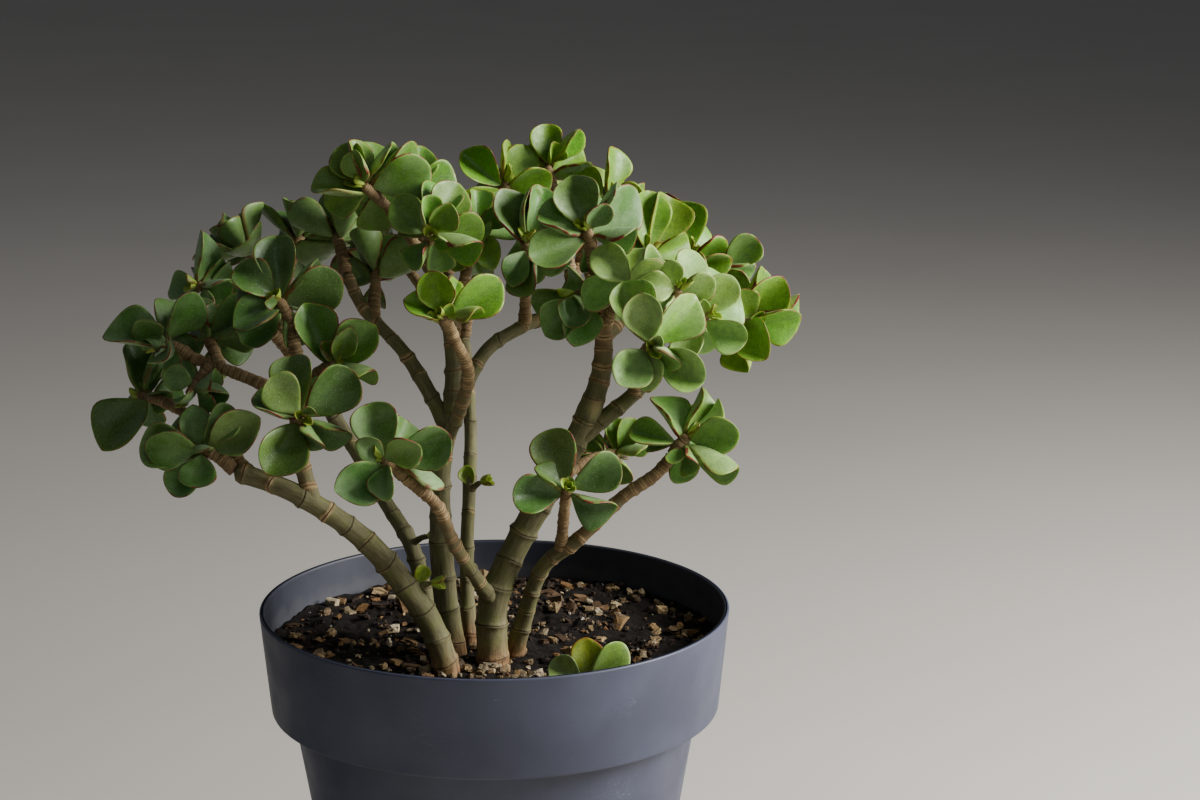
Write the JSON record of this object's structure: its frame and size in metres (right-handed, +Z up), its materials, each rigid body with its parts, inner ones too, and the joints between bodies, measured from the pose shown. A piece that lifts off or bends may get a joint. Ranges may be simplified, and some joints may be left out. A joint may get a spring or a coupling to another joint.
{
  "type": "potted jade plant",
  "caption": "Succulent shrub with thick ringed stems and round fleshy leaves, growing in soil in a tapered plastic pot with a deep collar.",
  "frame": {"origin": "middle of the pot's flat base, on the surface that it stands on", "axes": "+Z up, -Y towards the front of the plant, +X to its right"},
  "size_m": [0.3199, 0.22, 0.4237],
  "materials": {
    "pot_plastic": "smooth moulded plastic, slate blue-grey, faintly scratched",
    "soil": "dark potting soil with grit, bark and pale gravel",
    "stem": "smooth olive-grey bark with brown ring scars",
    "leaf": "waxy green leaf with a reddish margin"
  },
  "bodies": {
    "root": {"pot": "pot_plastic", "soil": "soil", "stem_front_left": "stem", "stem_back_left": "stem", "stem_middle": "stem", "stem_middle_right": "stem", "stem_right": "stem", "stem_back": "stem", "branch_low_left": "stem", "branch_up_left": "stem", "branch_far_left": "stem", "branch_left": "stem", "branch_back_right": "stem", "branch_front": "stem", "branch_top_right": "stem", "branch_right": "stem", "branch_upper_right": "stem", "branch_rear_right": "stem", "shoot_top_left": "leaf", "shoot_top_left_rear": "leaf", "shoot_top_middle": "leaf", "shoot_front_middle": "leaf", "shoot_crown": "leaf", "shoot_crown_low": "leaf", "shoot_centre": "leaf", "shoot_centre_left": "leaf", "shoot_rear_left_top": "leaf", "shoot_rear_top": "leaf", "shoot_rear_right_top": "leaf", "shoot_upper_right": "leaf", "shoot_upper_right_rear": "leaf", "shoot_right_upper": "leaf", "shoot_right_inner": "leaf", "shoot_right_front": "leaf", "shoot_right_middle": "leaf", "shoot_right_rear": "leaf", "shoot_far_right": "leaf", "shoot_low_right": "leaf", "shoot_low_middle": "leaf", "shoot_low_rear": "leaf", "shoot_left_front": "leaf", "shoot_front": "leaf", "shoot_left_low": "leaf", "shoot_far_left_low": "leaf", "shoot_left_small": "leaf", "shoot_far_left": "leaf", "shoot_left_middle": "leaf", "shoot_left_upper_rear": "leaf", "shoot_left_upper": "leaf", "shoot_left_inner": "leaf", "shoot_rear_left_1": "leaf", "shoot_rear_left_2": "leaf", "shoot_rear_left_3": "leaf", "shoot_rear_left_4": "leaf", "shoot_rear_middle": "leaf", "shoot_rear_right_1": "leaf", "shoot_rear_right_2": "leaf", "shoot_rear_right_3": "leaf", "shoot_rear_left_5": "leaf", "shoot_by_rim": "leaf"}
  },
  "joints": []
}
